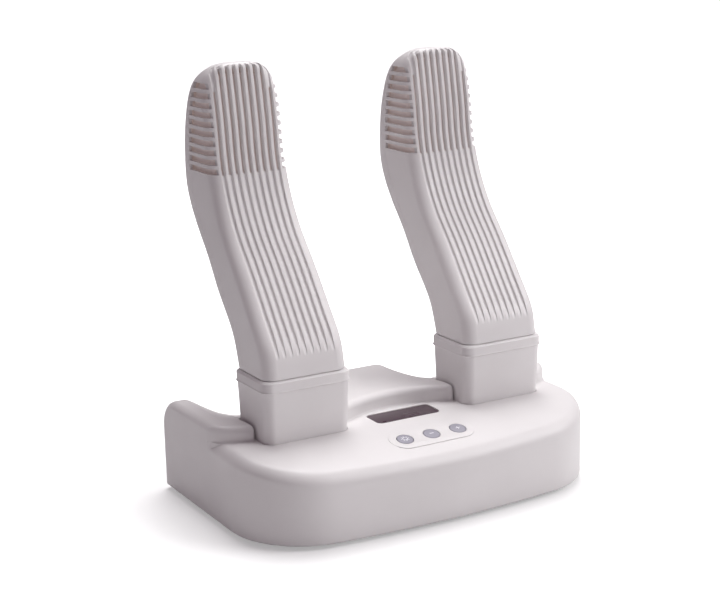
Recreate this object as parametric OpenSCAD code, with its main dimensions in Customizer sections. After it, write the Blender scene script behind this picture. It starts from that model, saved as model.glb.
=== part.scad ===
// Electric boot and shoe dryer: a fan and heater housing with two lift-off,
// curved warm-air pipes. Millimetres. X is across the front, Y points to the back, Z is up.

/* [Housing] */
// Width of the housing
body_w = 261; // [245:1:320]
// Depth of the housing, with the bow of its front
body_d = 163; // [158:1:190]
// How far the middle of the front bows forward
front_bow = 4.3; // [2:0.1:10]
// Plan radius of the front corners
corner_r = 53.5; // [30:0.5:56]
// Plan radius of the rear corners
rear_r = 5; // [3:0.5:10]
// Wall of the moulded housing
wall = 2.5; // [1.8:0.1:3]
// Height of the deck where the collars stand
deck_h = 57; // [55:0.5:75]
// Fall of the deck from its middle to its sides
deck_crown = 2; // [0:0.1:4]
// Radius of the arc in which the deck falls to the front
deck_fall_r = 160; // [140:5:400]
// Rounding of the deck's outer edge
edge_r = 9; // [5:0.5:12]
// Height of the rubber feet under the housing
foot_h = 3; // [2:0.5:8]

/* [Rear hump] */
// Height of the hump's front edge over the deck
lip_h = 11; // [6:0.5:16]
// Height of the hump's back over the deck, in the middle and at its ends
hump_h = 9.5; // [6:0.5:20]
// Depth of the two saddles in the hump's back
saddle_drop = 19; // [0:0.5:22]
// Half of each saddle's width
saddle_half_w = 44; // [25:1:50]
// Rounding of the hump's rear edge
hump_back_r = 20; // [8:1:22]
// Rounding of the hump's front edge and ends
hump_edge_r = 5; // [3:0.5:6]
// Front line of the hump at its middle, from the housing's middle
hump_mid_y = -2.5; // [-8:0.5:6]
// How far the hump comes forward beside the collars
hump_horn = 14; // [0:0.5:18]
// Front line of the hump at its ends, from the housing's middle
hump_end_y = -2; // [-10:0.5:6]

/* [Collars] */
// Distance between the two collars
collar_pitch = 150; // [138:1:170]
// Collar middle, from the housing's middle
collar_y = -7.7; // [-12:0.1:0]
// Height of the collar's rim
rim_top = 98; // [85:1:130]
// Height of the rim band
rim_band = 7; // [4:0.5:12]
// Collar at the rim, width
rim_w = 64; // [60:0.5:72]
// Collar at the rim, depth
rim_d = 47; // [45:0.5:52]
// Collar at the deck, width
collar_w = 60.6; // [59:0.1:66]
// Collar at the deck, depth
collar_d = 42.4; // [41:0.1:46]
// Corner radius of the collar
collar_r = 9; // [6:0.5:12]
// Width of the socket in the collar
socket_w = 50; // [46:0.5:52]
// Depth of the socket in the collar
socket_d = 37; // [34:0.5:38]
// Gap round the collar in the hump
notch_gap = 1.5; // [1:0.1:3]

/* [Pipes] */
// Width of a pipe at its foot
pipe_w = 59; // [54:0.5:62]
// Width of a pipe at its head
head_w = 52; // [46:0.5:58]
// Corner radius of a pipe
pipe_r = 8.5; // [5:0.5:10]
// Wall of a pipe
pipe_wall = 2; // [1.6:0.1:2.4]
// Wall of a pipe's ribbed front
rib_wall = 3; // [2.4:0.1:4]
// Length of the spigot that stands in the collar
spigot_l = 25; // [15:1:30]
// Running gap of the spigot in its socket
spigot_gap = 0.4; // [0.3:0.05:0.8]
// Number of grooves down the front
groove_n = 9; // [5:2:11]
// Plain strip beside the outermost grooves, to their middle
groove_margin = 4.4; // [4:0.1:8]
// Width of a groove
groove_w = 2.3; // [1.2:0.1:2.6]
// Depth of a groove below the head
groove_depth = 1.3; // [0.6:0.1:1.8]
// Number of slots in each side of the head
side_slot_n = 10; // [4:1:10]
// Pitch of the side slots
side_slot_pitch = 6; // [5:0.1:6.2]
// Height of a side slot
side_slot_h = 3.4; // [2:0.1:4]

/* [Display and buttons] */
// Display window width
window_w = 47.2; // [36:0.1:54]
// Display window depth
window_d = 18.6; // [14:0.1:20]
// Display window middle, from the housing's middle
window_y = -19.7; // [-24:0.1:-18]
// Thickness of the window
window_t = 1.6; // [1.2:0.1:1.8]
// Diameter of a button
button_dia = 11.1; // [9:0.1:13]
// Distance between the buttons
button_pitch = 20.1; // [17:0.1:24]
// Button row, from the housing's middle
button_y = -55.1; // [-60:0.1:-48]
// Travel of a button
button_travel = 0.7; // [0.3:0.1:0.8]

/* [Air system] */
// Size of the square fan
fan_size = 70; // [60:1:74]
// Thickness of the fan
fan_t = 20; // [15:1:22]
// Fan middle, from the housing's middle
fan_y = 36; // [33:0.5:38]
// Number of fan blades
blade_n = 7; // [5:1:9]
// Height of the heater
heater_h = 10; // [8:0.5:12]
// Number of fins between two heater bars
fin_n = 16; // [8:1:24]
// Wall of the air manifold
duct_wall = 2; // [1.6:0.1:2.4]

/* [Hidden] */
$fn = 48;
plastic = "whitesmoke";
eps = 0.01;

// Clearances
fit_gap = 0.3;          // between seated parts
seam_gap = 0.15;        // between the two halves of a pipe
cover_gap = 0.4;        // between the base plate and the housing's wall
hump_step = 0.05;       // of the hump's walls inside the deck's

// Housing outline, worked out from the driving sizes
half_w = body_w / 2;
half_d = body_d / 2;
corner_x = half_w - corner_r;
side_y = -half_d + front_bow + corner_r;
bow_sweep = 2 * atan(front_bow / corner_x);
bow_r = corner_r + corner_x / sin(bow_sweep);
slope_y = -19;          // ahead of this the deck falls to the front
corner_n = 7;
bow_n = 6;
rear_n = 3;

function lerp(a, b, t) = a + (b - a) * t;
function smooth(t) = t * t * (3 - 2 * t);
function clamp01(t) = min(1, max(0, t));
function arc2(cx, cy, r, a0, a1, n) =
    [for (i = [0:n]) let(a = lerp(a0, a1, i / n)) [cx + r * cos(a), cy + r * sin(a)]];

// Plan outline, anticlockwise from the front left, moved inwards by inset
function outline(inset) =
    let(r = corner_r - inset,
        q = max(0.5, rear_r - inset),
        b = bow_r - inset,
        bow_cy = bow_r - half_d,
        x0 = half_w - inset - q,
        y0 = half_d - inset - q)
    concat(
        arc2(-corner_x, side_y, r, 180, 270 - bow_sweep, corner_n),
        [for (i = [1:bow_n - 1]) let(a = lerp(-bow_sweep, bow_sweep, i / bow_n))
            [b * sin(a), bow_cy - b * cos(a)]],
        arc2(corner_x, side_y, r, 270 + bow_sweep, 360, corner_n),
        arc2(x0, y0, q, 0, 90, rear_n),
        arc2(-x0, y0, q, 90, 180, rear_n));

// Height of the deck at a place in plan
function deck_z(x, y) =
    let(ahead = max(0, slope_y - y))
    deck_h - deck_crown * pow(x / half_w, 2) - ahead * ahead / (2 * deck_fall_r);

// Hump: plan of its front line, and the height of its back
horn_x = collar_pitch / 2 - collar_w / 2 - notch_gap;
end_x = collar_pitch / 2 + collar_w / 2;
horn_y = hump_mid_y - hump_horn;
function hump_front(x) =
    let(a = abs(x), t = clamp01((a - end_x) / (half_w - end_x)))
    a < end_x
        ? hump_mid_y - hump_horn * pow(min(1, a / horn_x), 2)
        : lerp(horn_y, hump_end_y, pow(t, 1.3));
function saddle(x) =
    let(u = (abs(x) - collar_pitch / 2) / saddle_half_w)
    abs(u) < 1 ? (1 + cos(180 * u)) / 2 : 0;
function hump_back(x) = deck_h + hump_h - saddle_drop * saddle(x);

// Section of the hump at x, in Y and Z, moved inwards by inset
top_n = 3;
back_n = 4;
function hump_section(x, inset) =
    let(yf = hump_front(x) + inset,
        yb = half_d - inset,
        r = max(0.6, hump_edge_r - inset),
        rb = max(1, hump_back_r - inset),
        zf = deck_z(0, 0) + lip_h - inset,
        zb = hump_back(x) - inset)
    concat(
        [[yf, foot_h - 1]],
        [for (a = [0:30:90]) [yf + r * (1 - cos(a)), zf - r * (1 - sin(a))]],
        [for (i = [1:top_n - 1]) let(t = i / top_n)
            [lerp(yf + r, yb - rb, t), lerp(zf, zb, smooth(t))]],
        [for (i = [0:back_n]) let(a = 90 * (1 - i / back_n))
            [yb - rb * (1 - cos(a)), zb - rb * (1 - sin(a))]],
        [[yb, foot_h - 1]]);

// Stations along the hump, from its right end to its left: rounded ends, even steps between
station_n = 20;
function hump_stations(inset) =
    let(e = max(0.6, hump_edge_r - inset), w = half_w - inset)
    concat(
        [for (a = [0:30:60]) [w - e * (1 - cos(a)), e * (1 - sin(a))]],
        [for (i = [0:station_n]) [lerp(w - e, -(w - e), i / station_n), 0]],
        [for (a = [60:-30:0]) [-(w - e * (1 - cos(a))), e * (1 - sin(a))]]);

// A closed solid through rings that all have the same number of points
module loft(rings) {
    n = len(rings[0]);
    m = len(rings);
    polyhedron(
        points = [for (r = rings) each r],
        faces = concat(
            [[for (i = [0:n - 1]) i]],
            [[for (i = [n - 1:-1:0]) (m - 1) * n + i]],
            [for (j = [0:m - 2]) for (i = [0:n - 1])
                let(k = (i + 1) % n, a = j * n, b = a + n)
                each [[a + i, b + i, b + k], [a + i, b + k, a + k]]]),
        convexity = 6);
}

// A closed solid like loft(), whose last ring closes on a point
module dome_loft(rings, tip) {
    n = len(rings[0]);
    m = len(rings);
    polyhedron(
        points = concat([for (r = rings) each r], [tip]),
        faces = concat(
            [[for (i = [0:n - 1]) i]],
            [for (j = [0:m - 2]) for (i = [0:n - 1])
                let(k = (i + 1) % n, a = j * n, b = a + n)
                each [[a + i, b + i, b + k], [a + i, b + k, a + k]]],
            [for (i = [0:n - 1]) [(m - 1) * n + i, m * n, (m - 1) * n + (i + 1) % n]]),
        convexity = 6);
}

// The low body under the deck, moved inwards by inset
module deck_body(inset, bottom) {
    r = edge_r - inset;
    rim = outline(inset);
    inner = outline(inset + r);
    dome_loft(
        concat(
            [[for (p = rim) [p[0], p[1], bottom]]],
            [for (a = [0:30:90]) let(line = outline(inset + r * (1 - cos(a))))
                [for (p = line) [p[0], p[1], deck_z(p[0], p[1]) - inset - r * (1 - sin(a))]]],
            [for (t = [0.75:-0.25:0.25])
                [for (p = inner) let(x = p[0] * t, y = p[1] * t)
                    [x, y, deck_z(x, y) - inset]]]),
        [0, 0, deck_z(0, 0) - inset]);
}

// The hump, a hair inside the deck's outline so that their walls never share a face
module hump_body(inset) {
    in = inset + hump_step;
    loft([for (s = hump_stations(in))
        [for (p = hump_section(s[0], in + s[1])) [s[0], p[0], p[1]]]]);
}

// Rounded block with its middle at the origin of X and Y
module rounded_block(w, d, h, r) {
    hull()
        for (x = [-1, 1], y = [-1, 1])
            translate([x * (w / 2 - r), y * (d / 2 - r), 0])
                cylinder(h = h, r = r, $fn = 16);
}

// Exact rounded rectangle
module rounded_rect(w, d, r) {
    square([w, d - 2 * r], center = true);
    square([w - 2 * r, d], center = true);
    for (x = [-1, 1], y = [-1, 1])
        translate([x * (w / 2 - r), y * (d / 2 - r)])
            circle(r);
}

module at_collars() {
    for (s = [-1, 1])
        translate([s * collar_pitch / 2, collar_y, 0])
            children();
}

// The deck's own frame at the button row: Z along its normal
button_tilt = atan((slope_y - button_y) / deck_fall_r);
module at_buttons() {
    translate([0, button_y, deck_z(0, button_y)])
        rotate([button_tilt, 0, 0])
            children();
}

// Levels inside, from the floor up
plate_t = 2.5;
plate_top = foot_h + plate_t;
standoff_h = 3.5;
fan_z = plate_top + standoff_h;
heater_z = fan_z + fan_t + fit_gap;
duct_z = heater_z + heater_h + fit_gap;
collar_foot = deck_h - 6;
duct_top = collar_foot - fit_gap;
duct_h = duct_top - duct_z;

// Screws
case_screw_r = 1.5;
case_head_r = 3;
boss_r = 4.5;
case_spots = [[-half_w + 19, half_d - 20], [half_w - 19, half_d - 20],
              [-half_w + 36, -half_d + 30], [half_w - 36, -half_d + 30]];

// Control board
board_w = 72;
board_front = -67;
board_back = -8;
board_t = 1.6;
board_z = deck_h - 14.6;
board_top = board_z + board_t;
board_spots = [[-32, -63], [32, -63], [-32, -12], [32, -12]];
panel_r = 10.9;
panel_t = 1;
panel_proud = 0.35;

// Tact switches under the buttons, and the stems that press them
switch_h = 1.6;
plunger_h = 0.5;
stem_r = 2;
stem_spare = 0.2;       // between stem and plunger with the button pressed home
stem_end = (board_top + switch_h + plunger_h + button_travel + stem_spare
            - deck_z(0, button_y)) / cos(button_tilt) + stem_r * tan(button_tilt);

// Inlet socket
inlet_x = 85;
inlet_z = 18;
inlet_w = 24;
inlet_h = 14;

module upper_housing() {
    color(plastic)
    union() {
        difference() {
            union() {
                deck_body(0, foot_h);
                difference() {
                    hump_body(0);
                    translate([0, 0, -foot_h])
                        cube([2 * body_w, 2 * body_d, 4 * foot_h], center = true);
                    at_collars()
                        translate([0, 0, deck_h - 5])
                            rounded_block(collar_w + 2 * notch_gap, collar_d + 2 * notch_gap + 1,
                                          60, collar_r + notch_gap);
                }
            }
            deck_body(wall, foot_h - 1);
            difference() {
                hump_body(wall);
                at_collars()
                    translate([0, 0, deck_h - wall - deck_crown])
                        rounded_block(collar_w + 2 * notch_gap + 2 * wall,
                                      collar_d + 2 * notch_gap + 2 * wall, 60, collar_r);
            }
            at_collars()
                translate([0, 0, deck_h - 10])
                    rounded_block(collar_w + 2 * fit_gap, collar_d + 2 * fit_gap, 20, collar_r);
            translate([0, window_y, deck_h - 0.25 - window_t - 0.15])
                rounded_block(window_w + 2 * fit_gap, window_d + 2 * fit_gap, 6, 3.3);
            translate([0, window_y, deck_h - 6])
                rounded_block(window_w - 3.6, window_d - 3, 6, 2);
            at_buttons() {
                translate([0, 0, panel_proud - panel_t - 0.05])
                    rounded_block(2 * (button_pitch + panel_r + fit_gap), 2 * (panel_r + fit_gap),
                                  4, panel_r + fit_gap - eps);
                for (i = [-1:1])
                    translate([i * button_pitch, 0, -6])
                        cylinder(h = 12, d = button_dia + 2 * fit_gap, $fn = 28);
            }
            translate([inlet_x, half_d, inlet_z])
                rotate([90, 0, 0])
                    translate([0, 0, -1])
                        rounded_block(inlet_w + 0.4, inlet_h + 0.4, wall + 3, 3);
        }
        for (p = case_spots)
            case_boss(p);
        for (p = board_spots)
            translate([p[0], p[1], board_top + 0.1])
                tube(deck_z(p[0], p[1]) - wall / 2 - board_top, 3, 1);
    }
}

module tube(h, r, bore) {
    difference() {
        cylinder(h = h, r = r, $fn = 12);
        translate([0, 0, -eps])
            cylinder(h = h - 3, r = bore, $fn = 8);
    }
}

// Screw post under the deck or the hump, as high as the roof over it
module case_boss(p) {
    roof = p[1] > 0 ? hump_back(p[0]) - wall : deck_z(p[0], p[1]) - wall;
    translate([p[0], p[1], plate_top + 0.2])
        tube(roof - plate_top + 0.5, boss_r, case_screw_r - 0.2);
}

module base_plate() {
    rim_in = wall + cover_gap;
    rim_h = 6;
    color(plastic)
    difference() {
        union() {
            translate([0, 0, foot_h])
                linear_extrude(plate_t)
                    polygon(outline(rim_in));
            translate([0, 0, plate_top - eps])
                linear_extrude(rim_h)
                    difference() {
                        polygon(outline(rim_in));
                        polygon(outline(rim_in + 2));
                        translate([inlet_x, half_d])
                            square([inlet_w + 6, 30], center = true);
                    }
            at_fan_corners()
                translate([0, 0, plate_top - eps])
                    cylinder(h = standoff_h - fit_gap / 2, r = 3.6);
            for (p = psu_spots)
                translate([p[0], p[1], plate_top - eps])
                    cylinder(h = psu_z - plate_top - 0.1, r = 3);
        }
        intake_grille();
        at_fan_corners()
            translate([0, 0, plate_top - 1])
                cylinder(h = standoff_h + 2, r = 1.2);
        for (p = case_spots) {
            translate([p[0], p[1], foot_h - 1])
                cylinder(h = plate_t + 2, r = case_screw_r + 0.2);
            translate([p[0], p[1], foot_h - 1])
                cylinder(h = 1 + 1.3, r = case_head_r + 0.3);
        }
        for (p = foot_spots)
            translate([p[0], p[1], foot_h - 1])
                cylinder(h = 1 + foot_sink, r = foot_r + 0.1);
    }
}

// Ring slots under the fan, crossed by spokes
module intake_grille() {
    translate([0, fan_y, foot_h - 1])
        difference() {
            for (r = [8:6:fan_size / 2 - 6])
                difference() {
                    cylinder(h = plate_t + 2, r = r + 3.6);
                    translate([0, 0, -1])
                        cylinder(h = plate_t + 4, r = r);
                }
            for (a = [0:60:120])
                rotate(a)
                    cube([fan_size + 10, 3, 20], center = true);
        }
}

foot_r = 7;
foot_sink = 1;
foot_spots = [[-half_w + 22, half_d - 36], [half_w - 22, half_d - 36],
              [-half_w + 54, -half_d + 24], [half_w - 54, -half_d + 24]];

module rubber_feet() {
    color("dimgray")
    for (p = foot_spots)
        translate([p[0], p[1], 0])
            rotate_extrude()
                polygon([[0, 0], [foot_r - 1.2, 0], [foot_r, 1], [foot_r, foot_h + foot_sink - 0.05],
                         [0, foot_h + foot_sink - 0.05]]);
}

module screw(length, r, head_r, head_h) {
    cylinder(h = length, r = r, $fn = 24);
    translate([0, 0, -head_h])
        difference() {
            cylinder(h = head_h + eps, r = head_r, $fn = 24);
            for (a = [0, 90])
                rotate(a)
                    translate([0, 0, head_h * 0.3 - 1])
                        cube([head_r * 1.2, 0.6, 2], center = true);
        }
}

module case_screws() {
    color("silver")
    for (p = case_spots)
        translate([p[0], p[1], foot_h + 1.25])
            screw(14, case_screw_r - 0.3, case_head_r - 0.1, 1.2);
}

// Collar: a tapered cup without a floor, with a proud rim band
collar_screw_x = socket_w / 2 + (collar_w - socket_w) / 4;
function rect_ring(w, d, r, z) =
    [for (q = [[1, -1, 270], [1, 1, 0], [-1, 1, 90], [-1, -1, 180]]) for (i = [0:3])
        let(a = q[2] + 30 * i)
        [q[0] * (w / 2 - r) + r * cos(a), q[1] * (d / 2 - r) + r * sin(a), z]];

module collar() {
    band_z = rim_top - rim_band;
    lip = 0.9;
    color(plastic)
    difference() {
        loft([
            rect_ring(collar_w, collar_d, collar_r, collar_foot),
            rect_ring(collar_w, collar_d, collar_r, deck_h),
            rect_ring(rim_w - 2 * lip, rim_d - 2 * lip, collar_r, band_z - 0.8),
            rect_ring(rim_w, rim_d, collar_r + 0.6, band_z),
            rect_ring(rim_w, rim_d, collar_r + 0.6, rim_top - 0.8),
            rect_ring(rim_w - 1.2, rim_d - 1.2, collar_r, rim_top)]);
        translate([0, 0, collar_foot - 1])
            linear_extrude(rim_top - collar_foot + 2)
                rounded_rect(socket_w, socket_d, 6);
        for (s = [-1, 1])
            translate([s * collar_screw_x, 0, collar_foot - 1])
                cylinder(h = 11, r = 1.1);
    }
}

module left_collar() {
    translate([-collar_pitch / 2, collar_y, 0])
        collar();
}

module right_collar() {
    translate([collar_pitch / 2, collar_y, 0])
        collar();
}

module collar_screws() {
    color("silver")
    at_collars()
        for (s = [-1, 1])
            translate([s * collar_screw_x, 0, duct_z - 0.1])
                screw(duct_h + 8, 1, 2.2, 1.6);
}

// Pipe: side profile as two lines, heights from the rim and depths from the collar's middle
pipe_front_line = [[0, -22], [18, -19], [38, -5], [62, 13], [84, 31], [106, 43],
                   [128, 50], [150, 52], [163, 54.5], [174, 60], [180, 63]];
pipe_back_line = [[0, 22], [22, 30], [46, 51], [66, 65.5], [84, 81], [98, 91],
                  [112, 96.5], [132, 97.5], [148, 95], [164, 89.5], [174, 84], [180, 81]];
dome_z = 180;
dome_h = 10;
grille_z = 120;
seam_share = 0.72;
groove_pitch = (head_w - 2 * groove_margin) / (groove_n - 1);

function span(p, x, k = 0) = (k >= len(p) - 2 || x < p[k + 1][0]) ? k : span(p, x, k + 1);
function grade(p, k) =
    let(a = max(0, k - 1), b = min(len(p) - 1, k + 1))
    (p[b][1] - p[a][1]) / (p[b][0] - p[a][0]);
function spline(p, x) =
    let(k = span(p, x), h = p[k + 1][0] - p[k][0], t = (x - p[k][0]) / h,
        m = grade(p, k) * h, n = grade(p, k + 1) * h)
    p[k][1] * (2 * pow(t, 3) - 3 * t * t + 1) + m * (pow(t, 3) - 2 * t * t + t)
    + p[k + 1][1] * (3 * t * t - 2 * pow(t, 3)) + n * (pow(t, 3) - t * t);
function lean(p, z) = (spline(p, z + 1) - spline(p, z - 1)) / 2;
function stretch(p, z) = sqrt(1 + pow(lean(p, z), 2));
function pipe_half_w(z) = lerp(pipe_w, head_w, smooth(clamp01(z / 150))) / 2;
function seam_y(z) = lerp(spline(pipe_front_line, z), spline(pipe_back_line, z), seam_share);

pipe_zs = [0, 14, 25, 38, 56, 74, 90, 105, grille_z, 134, 148, 160, 171, dome_z];
dome_as = [30, 55, 75];

// One ring of a pipe's skin: side inset, front inset and back inset, square to the wall
function pipe_ring(z, side, front, back) =
    let(yf = spline(pipe_front_line, z) + front * stretch(pipe_front_line, z),
        yb = spline(pipe_back_line, z) - back * stretch(pipe_back_line, z),
        r = min(pipe_r - side, (yb - yf) / 2 - 0.2))
    [for (p = rect_ring(2 * (pipe_half_w(z) - side), yb - yf, r, z))
        [p[0], p[1] + (yf + yb) / 2, p[2]]];

function dome_ring(base, a, side) =
    let(my = (spline(pipe_front_line, dome_z) + spline(pipe_back_line, dome_z)) / 2,
        k = (pipe_half_w(dome_z) - side - dome_h * (1 - cos(a))) / (pipe_half_w(dome_z) - side))
    [for (p = base)
        [p[0] * k, my + (p[1] - my) * cos(a), dome_z + (dome_h - side) * sin(a)]];

module pipe_skin(side, front, back, z_low) {
    last = pipe_ring(dome_z, side, front, back);
    my = (spline(pipe_front_line, dome_z) + spline(pipe_back_line, dome_z)) / 2;
    dome_loft(
        concat(
            [[for (q = pipe_ring(0, side, front, back)) [q[0], q[1], z_low]]],
            [for (z = pipe_zs) if (z > z_low) pipe_ring(z, side, front, back)],
            [for (a = dome_as) dome_ring(last, a, side)]),
        [0, my, dome_z + dome_h - side]);
}

module side_prism(points, w) {
    rotate([90, 0, 90])
        linear_extrude(w, center = true)
            polygon(points);
}

// Everything ahead of the seam, or behind it
module seam_half(ahead) {
    far = ahead ? -60 : 140;
    gap = ahead ? -seam_gap / 2 : seam_gap / 2;
    zs = concat([-40], pipe_zs, [dome_z + 20]);
    side_prism(
        concat(
            [for (z = zs) [seam_y(min(dome_z, max(0, z))) + gap, z]],
            [[far, dome_z + 20], [far, -40]]),
        100);
}

module pipe_body() {
    difference() {
        union() {
            pipe_skin(0, 0, 0, 0.05);
            translate([0, 0, -spigot_l])
                linear_extrude(spigot_l + 4)
                    rounded_rect(socket_w - 2 * spigot_gap, socket_d - 2 * spigot_gap, 5.6);
        }
        pipe_skin(pipe_wall, rib_wall, pipe_wall, 5);
        translate([0, 0, -spigot_l - 1])
            linear_extrude(spigot_l + 8)
                rounded_rect(socket_w - 2 * spigot_gap - 2 * pipe_wall,
                             socket_d - 2 * spigot_gap - 2 * pipe_wall, 3.6);
    }
}

// A band along the pipe's front, from outside it to a depth inside it
module front_band(z0, z1, depth, w) {
    zs = concat([z0], [for (z = pipe_zs) if (z > z0 + 1 && z < min(z1, dome_z) - 1) z],
                [min(z1, dome_z)]);
    over = max(0, z1 - dome_z);
    y_top = spline(pipe_front_line, dome_z);
    side_prism(
        concat(
            [for (z = zs) [spline(pipe_front_line, z) - 3, z]],
            over > 0 ? [[y_top - 3, z1], [y_top + depth + 1, z1]] : [],
            [for (i = [len(zs) - 1:-1:0])
                let(z = zs[i])
                [spline(pipe_front_line, z) + depth * stretch(pipe_front_line, z), z]]),
        w);
}

module pipe_front() {
    color(plastic)
    difference() {
        intersection() {
            pipe_body();
            seam_half(true);
        }
        for (i = [0:groove_n - 1]) {
            k = i - (groove_n - 1) / 2;
            edge = abs(k) == (groove_n - 1) / 2;
            translate([k * groove_pitch, 0, 0]) {
                front_band(14, grille_z, groove_depth, groove_w);
                front_band(grille_z, edge ? 172 : dome_z + 6, rib_wall + (edge ? 3 : 1.5),
                           groove_w);
            }
        }
        for (i = [0:side_slot_n - 1])
            side_slot(176 - i * side_slot_pitch);
    }
}

// One pair of slots through both sides of the head
module side_slot(z) {
    y0 = spline(pipe_front_line, z) + rib_wall + 1.5;
    y1 = seam_y(z) - 2;
    hull()
        for (y = [y0 + side_slot_h / 2, max(y0 + side_slot_h / 2 + 1, y1 - side_slot_h / 2)])
            translate([0, y, z])
                rotate([0, 90, 0])
                    cylinder(h = pipe_w + 10, d = side_slot_h, center = true, $fn = 6);
}

module pipe_rear() {
    rows = [[124, 144], [150, 170]];
    color(plastic)
    difference() {
        intersection() {
            pipe_body();
            seam_half(false);
        }
        for (r = rows, i = [-3:3])
            hull()
                for (z = r)
                    translate([i * groove_pitch, spline(pipe_back_line, z) - 8, z])
                        rotate([-90, 0, 0])
                            cylinder(h = 20, d = groove_w + 0.4, $fn = 6);
    }
}

pipe_seat = rim_top + fit_gap;
module at_left_pipe() {
    translate([-collar_pitch / 2, collar_y, pipe_seat])
        children();
}

module at_right_pipe() {
    translate([collar_pitch / 2, collar_y, pipe_seat])
        children();
}

module left_pipe_front() {
    at_left_pipe()
        pipe_front();
}

module left_pipe_rear() {
    at_left_pipe()
        pipe_rear();
}

module right_pipe_front() {
    at_right_pipe()
        pipe_front();
}

module right_pipe_rear() {
    at_right_pipe()
        pipe_rear();
}

module display_window() {
    color("dimgray")
    translate([0, window_y, deck_h - 0.25 - window_t])
        linear_extrude(window_t)
            rounded_rect(window_w, window_d, 3);
}

module display_module() {
    top = deck_h - 0.25 - window_t - 1;
    digit_pitch = 9.5;
    color("black")
    translate([0, window_y, board_top + 0.05])
        difference() {
            linear_extrude(top - board_top)
                square([window_w - 6, window_d - 4], center = true);
            for (i = [-1.5:1.5])
                translate([i * digit_pitch, 0, top - board_top - 0.4])
                    linear_extrude(2)
                        square([6.5, 10.5], center = true);
        }
}

module button_panel() {
    color(plastic)
    at_buttons()
        translate([0, 0, panel_proud - panel_t])
            linear_extrude(panel_t)
                difference() {
                    rounded_rect(2 * (button_pitch + panel_r), 2 * panel_r, panel_r - eps);
                    for (i = [-1:1])
                        translate([i * button_pitch, 0])
                            circle(d = button_dia + 2 * fit_gap);
                }
}

// Domed cap with a flange that stops it under the deck, and a stem to the switch
module button(i) {
    r = button_dia / 2;
    cap_top = 1.2;
    flange_z = -wall - 0.5;
    color("lightsteelblue")
    at_buttons()
        translate([i * button_pitch, 0, 0])
            rotate_extrude()
                polygon(concat(
                    [[0, stem_end], [stem_r, stem_end], [stem_r, flange_z - 1.2],
                     [r + 1.3, flange_z - 1.2],
                     [r + 1.3, flange_z], [r, flange_z]],
                    [for (a = [0:15:90])
                        [r - 0.8 * (1 - cos(a)), cap_top - 0.8 * (1 - sin(a))]],
                    [[0, cap_top + 0.15]]));
}

module button_power() {
    button(-1);
}

module button_minus() {
    button(0);
}

module button_plus() {
    button(1);
}

module control_board() {
    color("seagreen")
    translate([0, 0, board_z])
        difference() {
            linear_extrude(board_t)
                translate([-board_w / 2, board_front])
                    square([board_w, board_back - board_front]);
            for (p = board_spots)
                translate([p[0], p[1], -1])
                    cylinder(h = board_t + 2, r = 1.2);
        }
}

module tact_switches() {
    color("black")
    for (i = [-1:1])
        translate([i * button_pitch, button_y - stem_end * sin(button_tilt), board_top]) {
            linear_extrude(switch_h)
                square([6, 6], center = true);
            cylinder(h = switch_h + plunger_h, r = 1.6);
        }
}

module board_screws() {
    color("silver")
    for (p = board_spots)
        translate([p[0], p[1], board_z - 0.05])
            screw(4, 0.85, 2, 1.2);
}

// Fan
fan_hole = fan_size * 0.88;
module at_fan_corners() {
    for (x = [-1, 1], y = [-1, 1])
        translate([x * fan_hole / 2, fan_y + y * fan_hole / 2, 0])
            children();
}

fan_bore_r = fan_size / 2 - 2;
hub_r = fan_size / 5;
motor_r = hub_r - 2;
strut_t = 2.5;

module fan_frame() {
    color("dimgray")
    difference() {
        union() {
            difference() {
                translate([0, fan_y, fan_z])
                    linear_extrude(fan_t)
                        rounded_rect(fan_size, fan_size, 4);
                translate([0, fan_y, fan_z - 1])
                    cylinder(h = fan_t + 2, r = fan_bore_r);
            }
            translate([0, fan_y, fan_z])
                linear_extrude(strut_t) {
                    circle(motor_r + 1);
                    for (a = [45, 135])
                        rotate(a)
                            square([2 * fan_bore_r + 2, 3], center = true);
                }
        }
        at_fan_corners()
            translate([0, 0, fan_z - 1])
                cylinder(h = fan_t + 2, r = 2.1);
    }
}

module fan_motor() {
    color("gray")
    translate([0, fan_y, fan_z + strut_t + 0.1]) {
        cylinder(h = 9, r = motor_r - 1);
        cylinder(h = fan_t - strut_t - 5, r = 1.5);
    }
}

module impeller() {
    low = fan_z + strut_t + 1;
    high = fan_z + fan_t - 1.5;
    tip_r = fan_bore_r - 1.3;
    color("black")
    union() {
        translate([0, fan_y, low])
            difference() {
                cylinder(h = high - low, r = hub_r);
                translate([0, 0, -1])
                    cylinder(h = high - low - 1, r = motor_r);
                translate([0, 0, -1])
                    cylinder(h = high - low - 0.5, r = 1.55);
            }
        intersection() {
            translate([0, fan_y, 0])
                for (i = [0:blade_n - 1])
                    rotate(i * 360 / blade_n)
                        translate([hub_r - 0.6, 0, (low + high) / 2])
                            rotate([38, 0, 0])
                                translate([0, -10, -0.8])
                                    cube([tip_r, 20, 1.6]);
            translate([0, fan_y, low])
                difference() {
                    cylinder(h = high - low, r = tip_r);
                    translate([0, 0, -1])
                        cylinder(h = high - low + 2, r = hub_r - 0.5);
                }
        }
    }
}

module fan_screws() {
    color("silver")
    at_fan_corners()
        translate([0, 0, fan_z + fan_t + 0.05])
            mirror([0, 0, 1])
                fan_screw();
}

// The heads sit in recesses of the heater frame's corners
module fan_screw() {
    cylinder(h = fan_t + standoff_h - 0.5, r = 1.1, $fn = 24);
    translate([0, 0, -1.4])
        cylinder(h = 1.4 + eps, r = 2.6, $fn = 24);
}

// Heater
heater_open = fan_size - 12;
module heater_frame() {
    color("ivory")
    difference() {
        translate([0, fan_y, heater_z])
            linear_extrude(heater_h)
                difference() {
                    rounded_rect(fan_size, fan_size, 4);
                    square([heater_open, heater_open], center = true);
                }
        at_fan_corners()
            translate([0, 0, heater_z - 1])
                cylinder(h = 3, r = 3);
    }
}

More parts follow.
